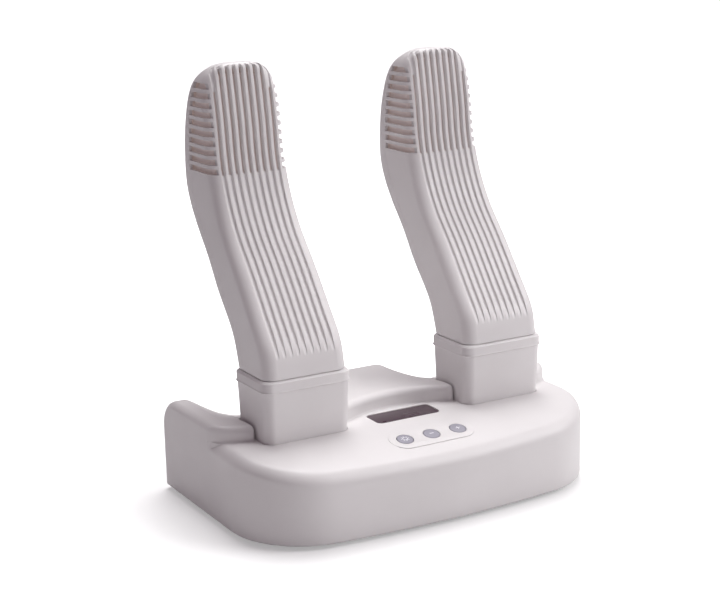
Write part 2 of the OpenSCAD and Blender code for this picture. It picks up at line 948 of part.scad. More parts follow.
bar_n = 4;
bar_t = 3;
bar_gap = heater_open / bar_n;
module heater_bars() {
    color("silver")
    for (i = [0:bar_n - 1])
        translate([-heater_open / 2 + 0.1, fan_y + (i - (bar_n - 1) / 2) * bar_gap - bar_t / 2,
                   heater_z + 1])
            cube([heater_open - 0.2, bar_t, heater_h - 2]);
}

module heater_fins() {
    fin_t = 0.5;
    fin_pitch = (heater_open - 6) / (fin_n - 1);
    color("gainsboro")
    for (j = [0:bar_n - 2]) {
        y0 = fan_y + (j - (bar_n - 1) / 2) * bar_gap + bar_t / 2;
        y1 = y0 + bar_gap - bar_t;
        translate([-heater_open / 2 + 1, y0, heater_z + heater_h / 2 - 0.25])
            cube([heater_open - 2, y1 - y0, 0.5]);
        for (i = [0:fin_n - 1])
            translate([-heater_open / 2 + 3 + i * fin_pitch - fin_t / 2, y0, heater_z + 1.5])
                cube([fin_t, y1 - y0, heater_h - 3]);
    }
}

// Manifold: a flat duct from the heater to both collars
duct_half = fan_size / 2 + 1;
duct_end = collar_pitch / 2 + collar_w / 2 + 0.5;
duct_near = collar_pitch / 2 - collar_w / 2 - 0.5;
function duct_plan(inset) =
    let(i = inset,
        y0 = collar_y - collar_d / 2,
        y1 = collar_y + collar_d / 2,
        yb = fan_y + duct_half)
    [[-duct_end + i, y0 + i], [-duct_near - i, y0 + i], [-duct_half + i * 0.4, fan_y - duct_half + i],
     [duct_half - i * 0.4, fan_y - duct_half + i], [duct_near + i, y0 + i], [duct_end - i, y0 + i],
     [duct_end - i, y1 - i * 0.6], [duct_half - i * 0.4, yb - i], [-duct_half + i * 0.4, yb - i],
     [-duct_end + i, y1 - i * 0.6]];

module air_manifold() {
    color("ivory")
    difference() {
        union() {
            translate([0, 0, duct_z])
                linear_extrude(duct_h)
                    difference() {
                        polygon(duct_plan(0));
                        polygon(duct_plan(duct_wall));
                    }
            translate([0, 0, duct_z])
                linear_extrude(duct_wall)
                    polygon(duct_plan(0.5));
            translate([0, 0, duct_top - duct_wall])
                linear_extrude(duct_wall)
                    polygon(duct_plan(0.5));
            at_collars()
                for (s = [-1, 1])
                    translate([s * collar_screw_x, 0, duct_z])
                        cylinder(h = duct_h, r = 2.8);
        }
        translate([0, fan_y, duct_z - 1])
            linear_extrude(duct_wall + 2)
                square([heater_open, heater_open], center = true);
        at_collars()
            translate([0, 0, duct_top - duct_wall - 1])
                linear_extrude(duct_wall + 2)
                    rounded_rect(socket_w - 1, socket_d, 6);
        at_collars()
            for (s = [-1, 1])
                translate([s * collar_screw_x, 0, duct_z - 1])
                    cylinder(h = duct_h + 2, r = 1.2);
    }
}

module thermal_cutout() {
    color("silver")
    translate([0, fan_y, duct_top + 0.05]) {
        linear_extrude(1)
            square([24, 8], center = true);
        translate([0, 0, 1 - eps])
            cylinder(h = 3, r = 5);
    }
}

// Power board beside the fan
psu_z = 10;
psu_w = 58;
psu_d = 46;
psu_x = -fan_size / 2 - 5 - psu_w / 2;
psu_y = half_d - wall - 5 - psu_d / 2;
psu_spots = [for (x = [-1, 1], y = [-1, 1])
    [psu_x + x * (psu_w / 2 - 4), psu_y + y * (psu_d / 2 - 4)]];

module power_board() {
    color("seagreen")
    translate([psu_x, psu_y, psu_z])
        linear_extrude(1.6)
            difference() {
                square([psu_w, psu_d], center = true);
                for (x = [-1, 1], y = [-1, 1])
                    translate([x * (psu_w / 2 - 4), y * (psu_d / 2 - 4)])
                        circle(1.2);
            }
}

module power_components() {
    z = psu_z + 1.65;
    color("goldenrod")
    translate([psu_x, psu_y, z]) {
        translate([-14, -6, 0])
            cube([18, 18, 15]);
        translate([14, -10, 0])
            cylinder(h = 18, r = 6);
        translate([6, 8, 0])
            cube([16, 8, 13]);
        translate([-24, -12, 0])
            cube([7, 14, 11]);
    }
}

module power_inlet() {
    depth = 20;
    color("black")
    translate([inlet_x, half_d, inlet_z])
        rotate([90, 0, 0])
            difference() {
                union() {
                    translate([0, 0, -1.2])
                        linear_extrude(1.15)
                            rounded_rect(inlet_w + 4, inlet_h + 4, 4);
                    translate([0, 0, -0.1])
                        linear_extrude(depth)
                            rounded_rect(inlet_w, inlet_h, 3);
                }
                translate([0, 0, -2])
                    linear_extrude(depth - 4)
                        union() {
                            for (s = [-1, 1])
                                translate([s * 4.3, 0])
                                    circle(4.2);
                            square([8.6, 7.6], center = true);
                        }
                for (s = [-1, 1])
                    translate([s * 4.3, 0, 0])
                        cylinder(h = depth, r = 1.25, $fn = 24);
            }
}

module inlet_pins() {
    color("silver")
    for (s = [-1, 1])
        translate([inlet_x + s * 4.3, half_d + 0.5, inlet_z])
            rotate([90, 0, 0])
                cylinder(h = 16.4, r = 1.2, $fn = 24);
}

// The origin is under the middle of the whole dryer, on the floor
pipe_back_y = collar_y + max([for (z = pipe_zs) spline(pipe_back_line, z)]);
frame_y = -(pipe_back_y - half_d) / 2;
module in_frame() {
    translate([0, frame_y, 0])
        children();
}

in_frame() upper_housing();
in_frame() base_plate();
in_frame() rubber_feet();
in_frame() case_screws();
in_frame() left_collar();
in_frame() right_collar();
in_frame() collar_screws();
in_frame() left_pipe_front();
in_frame() left_pipe_rear();
in_frame() right_pipe_front();
in_frame() right_pipe_rear();
in_frame() display_window();
in_frame() display_module();
in_frame() button_panel();
in_frame() button_power();
in_frame() button_minus();
in_frame() button_plus();
in_frame() control_board();
in_frame() tact_switches();
in_frame() board_screws();
in_frame() fan_frame();
in_frame() fan_motor();
in_frame() impeller();
in_frame() fan_screws();
in_frame() heater_frame();
in_frame() heater_bars();
in_frame() heater_fins();
in_frame() air_manifold();
in_frame() thermal_cutout();
in_frame() power_board();
in_frame() power_components();
in_frame() power_inlet();
in_frame() inlet_pins();
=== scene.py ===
# %% [markdown]
# # An electric boot and shoe dryer
# The dryer is a low moulded housing with a fan and a heater in it. Two collars stand on its
# deck, and a curved, ribbed warm-air pipe is plugged into each of them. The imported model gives
# the true places of all the pieces. This lesson makes the pieces that show again, finer, and
# gives every other piece its finish.

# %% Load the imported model
import math
import bpy
import bmesh
from mathutils import Matrix, Vector


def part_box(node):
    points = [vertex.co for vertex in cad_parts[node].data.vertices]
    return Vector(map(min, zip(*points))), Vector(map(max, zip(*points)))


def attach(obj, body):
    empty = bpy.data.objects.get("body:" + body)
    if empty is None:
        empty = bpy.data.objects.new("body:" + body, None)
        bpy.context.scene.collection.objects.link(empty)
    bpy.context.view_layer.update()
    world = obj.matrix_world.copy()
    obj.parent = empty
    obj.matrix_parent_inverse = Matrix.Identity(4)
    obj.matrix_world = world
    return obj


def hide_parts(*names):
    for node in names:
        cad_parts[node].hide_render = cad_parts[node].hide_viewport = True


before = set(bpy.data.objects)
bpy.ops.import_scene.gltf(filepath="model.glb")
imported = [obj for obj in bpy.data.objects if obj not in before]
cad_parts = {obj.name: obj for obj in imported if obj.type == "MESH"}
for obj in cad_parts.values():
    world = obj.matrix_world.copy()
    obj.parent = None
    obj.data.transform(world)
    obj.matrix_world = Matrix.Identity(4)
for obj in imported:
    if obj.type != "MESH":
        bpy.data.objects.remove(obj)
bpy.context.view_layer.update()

MM = 0.001
collar_low, collar_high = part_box("left_collar")
collar_y = -7.7
row_shift = (collar_low.y + collar_high.y) / 2 / MM - collar_y

# %% [markdown]
# ## Camera, floor and light
# The camera stands ahead and to the left of the dryer, a little above it. A long lens keeps the
# upright edges nearly parallel. The floor is a plain pale sheet, and three soft lamps light the
# dryer: a key from the right, a weak fill from the left and one from above and behind.

# %% Camera
eye = Vector((-526.6, -894.7, 390.4)) * MM
turn, climb, roll = (math.radians(a) for a in (-29.65, 14.08, -1.23))
back = Vector((math.sin(turn) * math.cos(climb), -math.cos(turn) * math.cos(climb),
               math.sin(climb)))
right = Vector((0, 0, 1)).cross(back).normalized()
up = back.cross(right)
rolled_right = right * math.cos(roll) + up * math.sin(roll)
rolled_up = up * math.cos(roll) - right * math.sin(roll)
bpy.ops.object.camera_add()
camera = bpy.context.object
camera.data.sensor_width = 36
camera.data.lens = 80.44
camera.matrix_world = Matrix.Translation(eye) @ Matrix(
    (rolled_right, rolled_up, back)).transposed().to_4x4()
bpy.context.scene.camera = camera
middle = Vector((0, 0, 0.12))
print("camera", round((eye - middle).length, 3), "m from the dryer")

# %% [markdown]
# The floor has to take the dryer's shadow and still end in plain white. Only the camera sees its
# glow, which is weak round the dryer, where the shadow lies, and grows to full white further off.
# It sits a hair below the feet, so that the two surfaces never share a place.

# %% Floor
floor_size, floor_drop, shadow_reach, white_reach, shadow_glow = 60, 0.0001, 0.15, 0.34, 0.34


def node_tree(material):
    material.use_nodes = True
    tree = material.node_tree
    return tree, tree.nodes, tree.links


bpy.ops.mesh.primitive_plane_add(size=floor_size, location=(0, 0, -floor_drop))
floor = bpy.context.object
floor.name = "floor"
floor_paint = bpy.data.materials.new("floor_paint")
tree, nodes, links = node_tree(floor_paint)
shader = nodes["Principled BSDF"]
shader.inputs["Base Color"].default_value = (0.78, 0.78, 0.78, 1)
shader.inputs["Roughness"].default_value = 0.9
shader.inputs["Specular IOR Level"].default_value = 0.1
shader.inputs["Emission Color"].default_value = (1, 1, 1, 1)
path = nodes.new("ShaderNodeLightPath")
place = nodes.new("ShaderNodeTexCoord")
reach = nodes.new("ShaderNodeVectorMath")
reach.operation = "LENGTH"
links.new(place.outputs["Object"], reach.inputs[0])
fade = nodes.new("ShaderNodeMapRange")
fade.inputs["From Min"].default_value = shadow_reach
fade.inputs["From Max"].default_value = white_reach
fade.inputs["To Min"].default_value = shadow_glow
fade.inputs["To Max"].default_value = 1.0
links.new(reach.outputs["Value"], fade.inputs["Value"])
glow = nodes.new("ShaderNodeMath")
glow.operation = "MULTIPLY"
links.new(path.outputs["Is Camera Ray"], glow.inputs[0])
links.new(fade.outputs["Result"], glow.inputs[1])
links.new(glow.outputs[0], shader.inputs["Emission Strength"])
floor.data.materials.append(floor_paint)
print("floor white from", white_reach, "m outwards")

# %% [markdown]
# The lamps are large discs, so their shadows are soft. The sky adds a little light from all
# round, with a touch of pink, which shows in the shaded sides. The camera sees it as white.

# %% Lamps
def lamp(name, place, size, watts):
    bpy.ops.object.light_add(type="AREA", location=place)
    made = bpy.context.object
    made.name = name
    made.data.shape = "DISK"
    made.data.size = size
    made.data.energy = watts
    aim = middle - Vector(place)
    made.rotation_euler = aim.to_track_quat("-Z", "Y").to_euler()
    print(name, "lamp", watts, "W at", round(aim.length, 2), "m")


lamp("key", (1.35, -1.15, 1.35), 1.3, 25)
lamp("fill", (-1.9, -0.9, 0.7), 1.6, 0.4)
lamp("overhead", (0.35, 0.62, 2.0), 1.5, 38)

# %% Sky
world = bpy.context.scene.world or bpy.data.worlds.new("studio")
bpy.context.scene.world = world
tree, nodes, links = node_tree(world)
sky = nodes["Background"]
path = nodes.new("ShaderNodeLightPath")
air = nodes.new("ShaderNodeMix")
air.data_type = "RGBA"
air.inputs["A"].default_value = (1.0, 0.76, 0.9, 1)
air.inputs["B"].default_value = (1, 1, 1, 1)
links.new(path.outputs["Is Camera Ray"], air.inputs["Factor"])
links.new(air.outputs["Result"], sky.inputs["Color"])
level = nodes.new("ShaderNodeMapRange")
level.inputs["To Min"].default_value = 0.15
level.inputs["To Max"].default_value = 1.06
links.new(path.outputs["Is Camera Ray"], level.inputs["Value"])
links.new(level.outputs["Result"], sky.inputs["Strength"])
bpy.context.scene.view_settings.view_transform = "Standard"
print("sky strength", level.inputs["To Min"].default_value)

# %% [markdown]
# ## Working habits
# Four small helpers carry the rest of the lesson: apply a modifier, cut one piece with
# another, select edges by a test, and settle a finished piece in its place with its object at
# the origin.

# %% Helpers
def start(piece=None):
    if bpy.context.mode != "OBJECT":
        bpy.ops.object.mode_set(mode="OBJECT")
    bpy.ops.object.select_all(action="DESELECT")
    if piece:
        piece.select_set(True)
        bpy.context.view_layer.objects.active = piece


def modify(piece, kind, **settings):
    start(piece)
    modifier = piece.modifiers.new(kind.lower(), kind)
    for key, value in settings.items():
        setattr(modifier, key, value)
    bpy.ops.object.modifier_apply(modifier=modifier.name)


def cut(piece, cutter, operation="DIFFERENCE"):
    modify(piece, "BOOLEAN", object=cutter, operation=operation, solver="EXACT",
           material_mode="TRANSFER")
    bpy.data.objects.remove(cutter)


def select_edges(piece, test):
    start(piece)
    bpy.ops.object.mode_set(mode="EDIT")
    bpy.ops.mesh.select_mode(type="EDGE")
    bpy.ops.mesh.select_all(action="DESELECT")
    mesh = bmesh.from_edit_mesh(piece.data)
    for edge in mesh.edges:
        a, b = edge.verts[0].co / MM, edge.verts[1].co / MM
        if test(a, b):
            edge.select_set(True)
    bmesh.update_edit_mesh(piece.data)


def settle(piece, x=0.0, y=0.0, z=0.0):
    start(piece)
    piece.location = (x * MM, (y + row_shift) * MM, z * MM)
    bpy.ops.object.transform_apply(location=True, rotation=True, scale=True)


def smooth(piece, degrees=32):
    start(piece)
    bpy.ops.object.shade_smooth_by_angle(angle=math.radians(degrees), keep_sharp_edges=False)


def faces(piece):
    return len(piece.data.polygons)


print("sizes are written in mm and laid down in units of", MM, "m")

# %% [markdown]
# ## Moulded plastic
# All the white pieces are satin ABS. It isn't one flat colour: a moulding is a little uneven,
# with a faint cloudiness, a fine spark-eroded grain and slightly duller patches. Three noises on
# object coordinates give those. One maker does every moulded finish, with its own colours.

# %% Finishes
def finish(name, dark, light, rough, patch=18.0, grain=1400.0, depth=0.00003, metallic=0.0,
           coat=0.0, specular=0.5, rough_spread=0.06):
    material = bpy.data.materials.new(name)
    tree, nodes, links = node_tree(material)
    shader = nodes["Principled BSDF"]
    shader.inputs["Metallic"].default_value = metallic
    shader.inputs["Specular IOR Level"].default_value = specular
    shader.inputs["Coat Weight"].default_value = coat
    shader.inputs["Coat Roughness"].default_value = 0.08
    place = nodes.new("ShaderNodeTexCoord")

    def noise(scale, detail):
        made = nodes.new("ShaderNodeTexNoise")
        made.inputs["Scale"].default_value = scale
        made.inputs["Detail"].default_value = detail
        links.new(place.outputs["Object"], made.inputs["Vector"])
        return made

    cloud = noise(patch, 3)
    tint = nodes.new("ShaderNodeValToRGB")
    tint.color_ramp.elements[0].position = 0.3
    tint.color_ramp.elements[0].color = (*dark, 1)
    tint.color_ramp.elements[1].position = 0.7
    tint.color_ramp.elements[1].color = (*light, 1)
    links.new(cloud.outputs["Fac"], tint.inputs["Fac"])
    links.new(tint.outputs["Color"], shader.inputs["Base Color"])
    worn = noise(patch * 5, 4)
    dull = nodes.new("ShaderNodeMapRange")
    dull.inputs["From Min"].default_value = 0.3
    dull.inputs["From Max"].default_value = 0.7
    dull.inputs["To Min"].default_value = rough - rough_spread
    dull.inputs["To Max"].default_value = rough + rough_spread
    links.new(worn.outputs["Fac"], dull.inputs["Value"])
    links.new(dull.outputs["Result"], shader.inputs["Roughness"])
    fine = noise(grain, 2)
    bump = nodes.new("ShaderNodeBump")
    bump.inputs["Strength"].default_value = 0.35
    bump.inputs["Distance"].default_value = depth
    links.new(fine.outputs["Fac"], bump.inputs["Height"])
    links.new(bump.outputs["Normal"], shader.inputs["Normal"])
    return material


white_abs = finish("white_abs", (0.755, 0.735, 0.735), (0.795, 0.775, 0.775), 0.42)
# Inside the pipes and on the air guides the plastic is as white as outside; the warm tint of this
# material is painted shade with its warm bounce.
inside_painted_shade_and_glow = finish("inside_painted_shade_and_glow", (0.8, 0.72, 0.69), (0.86, 0.78, 0.75), 0.6)
# The inside also has a faint painted glow: an emission that stands in for the light coming through
# the thin white walls.
painted_glow_shader = inside_painted_shade_and_glow.node_tree.nodes["Principled BSDF"]
painted_glow_shader.inputs["Emission Color"].default_value = (1.0, 0.87, 0.85, 1)
painted_glow_shader.inputs["Emission Strength"].default_value = 0.045
key_grey = finish("key_grey", (0.32, 0.31, 0.37), (0.37, 0.36, 0.42), 0.4, grain=2600)
icon_white = finish("icon_white", (0.82, 0.82, 0.86), (0.88, 0.88, 0.92), 0.5)
print("white plastic ready, with", len(white_abs.node_tree.nodes), "shader nodes")

# %% [markdown]
# ## Laying a skin
# Most of the dryer is smooth, drawn-out form: the deck with its crown, the hump with its two
# saddles, the pipes. Such a form is a row of cross-sections. A grid is added with one row for
# each section, the rows are laid on the sections, and the grid is closed round and at its ends.
# Solid blocks with rounded corners start as a cube whose upright edges are bevelled.

# %% Skins
def skin(name, rings, around=False, material=None):
    start()
    laid = list(rings) + ([rings[0]] if around else [])
    bpy.ops.mesh.primitive_grid_add(x_subdivisions=len(laid[0]), y_subdivisions=len(laid) - 1,
                                    size=1)
    piece = bpy.context.object
    piece.name = name
    flat = [n * MM for ring in laid for point in list(ring) + [ring[0]] for n in point]
    piece.data.vertices.foreach_set("co", flat)
    bpy.ops.object.mode_set(mode="EDIT")
    bpy.ops.mesh.select_all(action="SELECT")
    bpy.ops.mesh.remove_doubles(threshold=1e-6)
    if not around:
        bpy.ops.mesh.fill_holes(sides=0)
    bpy.ops.mesh.select_all(action="SELECT")
    bpy.ops.mesh.normals_make_consistent(inside=False)
    bpy.ops.object.mode_set(mode="OBJECT")
    piece.data.materials.append(material or white_abs)
    return piece


# %% Blocks
def block(name, width, depth, low, high, radius, steps=10, x=0.0, y=0.0, material=None):
    start()
    bpy.ops.mesh.primitive_cube_add(size=1, location=(x * MM, y * MM, (low + high) / 2 * MM))
    piece = bpy.context.object
    piece.name = name
    piece.scale = (width * MM, depth * MM, (high - low) * MM)
    bpy.ops.object.transform_apply(location=True, rotation=True, scale=True)
    select_edges(piece, lambda a, b: abs(a.z - b.z) > 1e-3)
    bpy.ops.mesh.bevel(offset=radius * MM, segments=steps, affect="EDGES")
    bpy.ops.object.mode_set(mode="OBJECT")
    piece.data.materials.append(material or white_abs)
    return piece


def join(pieces):
    start()
    for piece in pieces:
        piece.select_set(True)
    bpy.context.view_layer.objects.active = pieces[0]
    if len(pieces) > 1:
        bpy.ops.object.join()
    return bpy.context.object


# %% Curves in numbers
def mix(a, b, t):
    return a + (b - a) * t


def ease(t):
    t = min(1, max(0, t))
    return t * t * (3 - 2 * t)


def arc(cx, cy, radius, start_angle, end_angle, steps):
    return [(cx + radius * math.cos(math.radians(mix(start_angle, end_angle, i / steps))),
             cy + radius * math.sin(math.radians(mix(start_angle, end_angle, i / steps))))
            for i in range(steps + 1)]


def rounded(width, depth, radius, height, steps=10):
    x, y = width / 2 - radius, depth / 2 - radius
    return [(px, py, height)
            for cx, cy, a in ((x, -y, -90), (x, y, 0), (-x, y, 90), (-x, -y, 180))
            for px, py in arc(cx, cy, radius, a, a + 90, steps)]


print("a rounded ring has", len(rounded(2, 2, 0.5, 0)), "points")

# %% [markdown]
# Each finished piece is handed over: it rides on a body of the imported model and stands for the
# CAD piece that it replaces, which is hidden.

# %% Hand a piece over
def hand_over(piece, body, slot, *replaced):
    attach(piece, body)
    if replaced:
        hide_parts(*replaced)
    print(piece.name, faces(piece), "faces on", body)

# %% [markdown]
# ## The housing's lower body
# The housing is one tray, turned over. Its plan has two wide front corners, a front that bows
# out by about 4 mm and two tight rear corners. The deck sags a little at its two ends, and falls
# away to the front in an arc. Its outline is drawn once and moved inwards for each ring of the
# skin: a small radius at the foot, the upright wall, the broad rounding, and then the deck to its
# middle.

# %% Deck outline
body_w, body_d, front_bow, corner_r, rear_r = 261, 163, 4.3, 53.5, 5
half_w, half_d = body_w / 2, body_d / 2
foot_h, deck_h, deck_crown, fall_y, fall_r, edge_r, wall = 3, 57, 1.8, -19, 160, 7.5, 2.5
corner_x = half_w - corner_r
corner_y = -half_d + front_bow + corner_r
bow_sweep = math.degrees(2 * math.atan(front_bow / corner_x))
bow_r = corner_r + corner_x / math.sin(math.radians(bow_sweep))


def outline(inset):
    r, q, b = corner_r - inset, max(0.6, rear_r - inset), bow_r - inset
    x, y = half_w - inset, half_d - inset
    points = arc(-corner_x, corner_y, r, 180, 270 - bow_sweep, 22)
    points += arc(0, bow_r - half_d, b, 270 - bow_sweep, 270 + bow_sweep, 22)[1:-1]
    points += arc(corner_x, corner_y, r, 270 + bow_sweep, 360, 22)
    points += [(x, mix(corner_y, y - q, i / 10)) for i in range(1, 10)]
    points += arc(x - q, y - q, q, 0, 90, 6)
    points += [(mix(x - q, q - x, i / 24), y) for i in range(1, 24)]
    points += arc(q - x, y - q, q, 90, 180, 6)
    points += [(-x, mix(y - q, corner_y, i / 10)) for i in range(1, 10)]
    return points


print("the outline has", len(outline(0)), "points")

# %% Deck
level_half, rim_steps = 98, (0.96, 0.9, 0.82, 0.73, 0.64, 0.55, 0.46, 0.37, 0.28, 0.19, 0.1, 0)


def deck_z(x, y):
    sag = deck_crown * (max(0, abs(x) - level_half) / (half_w - level_half)) ** 2
    return deck_h - sag - max(0, fall_y - y) ** 2 / (2 * fall_r)


def deck_rings(inset, bottom):
    foot_r, top_r = (1.6, edge_r) if inset == 0 else (0, edge_r - inset)
    rings = []
    if foot_r:
        rings += [[(x, y, bottom + foot_r * (1 - math.cos(math.radians(a))))
                   for x, y in outline(foot_r * (1 - math.sin(math.radians(a))))]
                  for a in range(0, 90, 15)]
    rings += [[(x, y, bottom + foot_r) for x, y in outline(inset)]]
    for a in range(0, 91, 9):
        bend = math.radians(a)
        rings.append([(x, y, deck_z(x, y) - inset - top_r * (1 - math.sin(bend)))
                      for x, y in outline(inset + top_r * (1 - math.cos(bend)))])
    rim = outline(inset + top_r)
    for t in rim_steps:
        rings.append([(x * t, y * t, deck_z(x * t, y * t) - inset) for x, y in rim])
    return rings


housing = skin("housing", deck_rings(0, foot_h))
print("deck", faces(housing), "faces")

# %% [markdown]
# ## The hump behind the collars
# The hump is drawn in sections from its right end to its left end. Each section climbs the front
# face out of a small cove, turns over the lip, dips into a saddle behind each collar and rolls
# over the rear edge. Its ends are rounded by moving the last sections inwards. Before it joins
# the deck, the two collar notches are cut, with an edge that is rolled over as on the moulding.

# %% Hump lines
collar_pitch, collar_w, collar_d, collar_corner, notch_gap = 150, 60.6, 42.4, 7.2, 1.5
lip_h, hump_h, saddle_drop, saddle_half = 11, 8.6, 18, 44
hump_back_r, hump_edge_r, mid_y, horn, end_y, horn_r = 20, 5, -2.5, 14, -2, 3
horn_x = collar_pitch / 2 - collar_w / 2 - notch_gap
outer_x = collar_pitch / 2 + collar_w / 2 + notch_gap
horn_y = mid_y - horn
step_in, lip_fall, end_round, end_reach, cove_r, cove_lap = 0.02, 1.8, 4, 12, 1.6, 0.12


def corner_back(gap):
    return 0 if gap > horn_r else horn_r - math.sqrt(max(0, horn_r ** 2 - (horn_r - gap) ** 2))


def hump_front(x):
    a = abs(x)
    if a < horn_x:
        return mid_y - horn * (a / horn_x) ** 2 + corner_back(horn_x - a)
    if a < outer_x:
        return horn_y + horn_r
    t = (a - outer_x + notch_gap) / (half_w - outer_x + notch_gap)
    rounding = end_round * max(0, 1 - (half_w - a) / end_reach) ** 2
    return mix(horn_y, end_y, t ** 1.3) + corner_back(a - outer_x) + rounding


def hump_back(x):
    u = (abs(x) - collar_pitch / 2) / saddle_half
    dip = max(0, 1 - u * u) ** 1.25
    return deck_h + hump_h - saddle_drop * dip


def lip_z(x):
    return deck_h + lip_h - lip_fall * ease((abs(x) - 60) / 62)


print("saddle behind a collar", round(deck_h + lip_h - hump_back(collar_pitch / 2), 1), "mm deep")

# %% Hump sections
def hump_section(x, inset):
    front, rear = hump_front(x) + inset, half_d - inset
    r, rb = max(0.6, hump_edge_r - inset), max(1, hump_back_r - inset)
    top, tail = lip_z(x) - inset, hump_back(x) - inset
    cove = cove_r if inset < 2 else 0.3
    foot = deck_z(x, front - cove) - cove_lap
    points = [(x, front - cove, 8 + inset)]
    points += [(x, front - cove + cove * math.sin(a), foot + cove * (1 - math.cos(a)))
               for a in (math.radians(d) for d in range(0, 91, 15))]
    points += [(x, front + r * (1 - math.cos(a)), top - r * (1 - math.sin(a)))
               for a in (math.radians(d) for d in range(0, 91, 9))]
    points += [(x, mix(front + r, rear - rb, i / 16), mix(top, tail, ease(i / 16)))
               for i in range(1, 16)]
    points += [(x, rear - rb * (1 - math.sin(a)), tail - rb * (1 - math.cos(a)))
               for a in (math.radians(d) for d in range(0, 91, 6))]
    points += [(x, rear, mix(tail - rb, 8 + inset, i / 3)) for i in range(1, 4)]
    return points


def hump_rings(inset):
    e, end = max(0.6, hump_edge_r - inset), half_w - inset
    ends = [(end - e * (1 - math.cos(math.radians(a))), e * (1 - math.sin(math.radians(a))))
            for a in range(0, 90, 9)]
    places = [end - e]
    for a, b, n in ((end - e, outer_x + horn_r, 12), (outer_x + horn_r, outer_x, 8),
                    (outer_x, horn_x, 20), (horn_x, horn_x - horn_r, 8),
                    (horn_x - horn_r, -horn_x + horn_r, 34), (-horn_x + horn_r, -horn_x, 8),
                    (-horn_x, -outer_x, 20), (-outer_x, -outer_x - horn_r, 8),
                    (-outer_x - horn_r, e - end, 12)):
        places += [mix(a, b, i / n) for i in range(1, n + 1)]
    rings = [hump_section(x, inset + more) for x, more in ends]
    rings += [hump_section(x, inset) for x in places]
    rings += [hump_section(-x, inset + more) for x, more in reversed(ends)]
    return rings


hump = skin("hump", hump_rings(step_in))
print("hump skin", faces(hump), "faces")

# %% Collar notches
def hump_top(x, y):
    r, front, rear = hump_edge_r, hump_front(x), half_d - hump_back_r
    if y < front + r:
        y = front + r
    return mix(lip_z(x), hump_back(x), ease((y - front - r) / (rear - front - r)))


def notch(side, gap, roll_r):
    rings = []
    middle = side * collar_pitch / 2
    for level in (None, 0, 15, 30, 45, 60, 75, 90, "over"):
        bend = math.radians(level) if isinstance(level, int) else 0
        flare = roll_r if level == "over" else roll_r * (1 - math.cos(bend))
        ring = []
        for x, y, _ in rounded(collar_w + 2 * (gap + flare), collar_d + 2 * (gap + flare),
                               collar_corner + gap + flare, 0):
            px, py = x + middle, y + collar_y
            top = hump_top(px, py)
            z = deck_h - 6 if level is None else top + 20 if level == "over" else (
                top - roll_r + roll_r * math.sin(bend))
            ring.append((px, py, z))
        rings.append(ring)
    return skin("notch", rings)


for side in (-1, 1):
    cut(hump, notch(side, notch_gap, 1.0))
print("hump with notches", faces(hump), "faces")

# %% [markdown]
# The saddles dip below the deck, so the deck is first cut away behind the hump's front. Then the
# two skins become one solid.

# %% Join the hump and the deck
behind_y, behind_deep = 16.5, 22


def behind(inset):
    return block("behind", 300, 100, deck_h - behind_deep - inset, 90, 0.5, 1,
                 y=behind_y + 50 - inset)


cut(housing, behind(0))
cut(housing, hump, "UNION")
print("housing", faces(housing), "faces")

# %% [markdown]
# ## Walls, holes and recesses
# The tray is hollow, so a smaller deck and a smaller hump are taken out of it, and the two solid
# walls round the collars stay. Then come the holes: the collar seats, the window with its ledge,
# the button panel with the key holes, and the inlet in the rear wall.

# %% Hollow the housing
inner_hump = skin("inner_hump", hump_rings(wall))
for side in (-1, 1):
    cut(inner_hump, block("notch_wall", collar_w + 2 * (notch_gap + wall),
                          collar_d + 2 * (notch_gap + wall), deck_h - wall - deck_crown, 120,
                          collar_corner, x=side * collar_pitch / 2, y=collar_y))
inner_deck = skin("inner_deck", deck_rings(wall, foot_h - 1))
cut(inner_deck, behind(wall))
cut(housing, inner_deck)
cut(housing, inner_hump)
print("hollow housing", faces(housing), "faces")

# %% Collar seats and window
fit_gap, seat_deep, ledge = 0.3, 12, 1.8
for side in (-1, 1):
    cut(housing, block("collar_seat", collar_w + 2 * fit_gap, collar_d + 2 * fit_gap,
                       deck_h - seat_deep, deck_h + 4, collar_corner,
                       x=side * collar_pitch / 2, y=collar_y))
window_w, window_d, window_y, window_t, window_sunk = 47.7, 18.6, -19.7, 1.6, 0.25
cut(housing, block("window_seat", window_w + 2 * fit_gap, window_d + 2 * fit_gap,
                   deck_h - window_sunk - window_t - 0.15, deck_h + 4, 3.9, y=window_y))
cut(housing, block("window_hole", window_w - 2 * ledge, window_d - 3, deck_h - 8, deck_h + 4, 2,
                   y=window_y))
print("housing with its seats", faces(housing), "faces")

# %% [markdown]
# The panel with the keys lies where the deck already falls away, so everything there is made flat
# round the middle key first and then tilted into its place on the deck.

# %% Panel seat and key holes
button_dia, button_pitch, button_y = 11.1, 20.1, -55.1
button_tilt = math.degrees(math.atan((fall_y - button_y) / fall_r))
panel_r, panel_t, panel_proud = 10.9, 1, 0.1
button_z = deck_z(0, button_y)
print("the panel is tilted by", round(button_tilt, 1), "degrees")


def on_deck(piece):
    start(piece)
    piece.rotation_euler = (math.radians(button_tilt), 0, 0)
    piece.location = (0, button_y * MM, button_z * MM)
    bpy.ops.object.transform_apply(location=True, rotation=True, scale=True)
    return piece


def key_hole(i, low, high):
    start()
    bpy.ops.mesh.primitive_cylinder_add(vertices=64, radius=(button_dia / 2 + fit_gap) * MM,
                                        depth=(high - low) * MM,
                                        location=(i * button_pitch * MM, 0, (low + high) / 2 * MM))
    bpy.ops.object.transform_apply(location=True, rotation=True, scale=True)
    return bpy.context.object


pill_w = 2 * (button_pitch + panel_r)
cut(housing, on_deck(block("panel_seat", pill_w + 0.16, 2 * panel_r + 0.16,
                           panel_proud - panel_t - 0.05, 5, panel_r + 0.07, 24)))
for i in (-1, 0, 1):
    cut(housing, on_deck(key_hole(i, -7, 5)))

